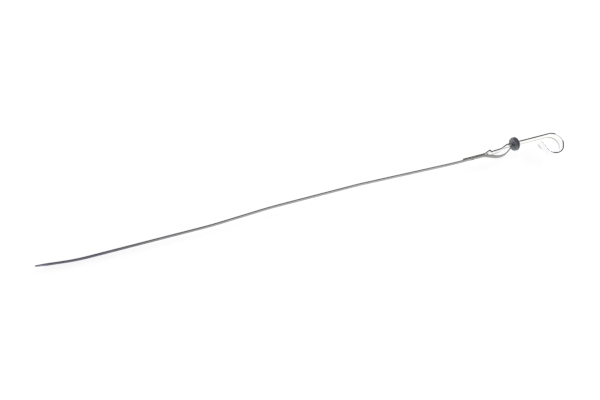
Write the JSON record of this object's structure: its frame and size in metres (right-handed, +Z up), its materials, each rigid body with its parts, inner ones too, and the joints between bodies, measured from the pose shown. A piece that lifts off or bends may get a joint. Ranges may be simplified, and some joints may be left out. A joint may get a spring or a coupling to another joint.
{
  "type": "engine oil dipstick",
  "caption": "Flat spring-steel oil dipstick with a bright strip handle bent into a finger hook, a detent kink and a round rubber seal for the tube's mouth.",
  "frame": {"origin": "bottom centre of the box round the dipstick as it lies", "axes": "+X along the dipstick from the dip tip to the hook, +Y across it, away from the side the hook turns to, +Z up"},
  "size_m": [0.5407, 0.0308, 0.0143],
  "materials": {
    "blade_steel": "satin, oil-darkened",
    "bright_plate": "bright plated",
    "seal_rubber": "satin"
  },
  "bodies": {
    "root": {"blade": "blade_steel", "handle": "bright_plate", "seal": "seal_rubber"}
  },
  "joints": []
}
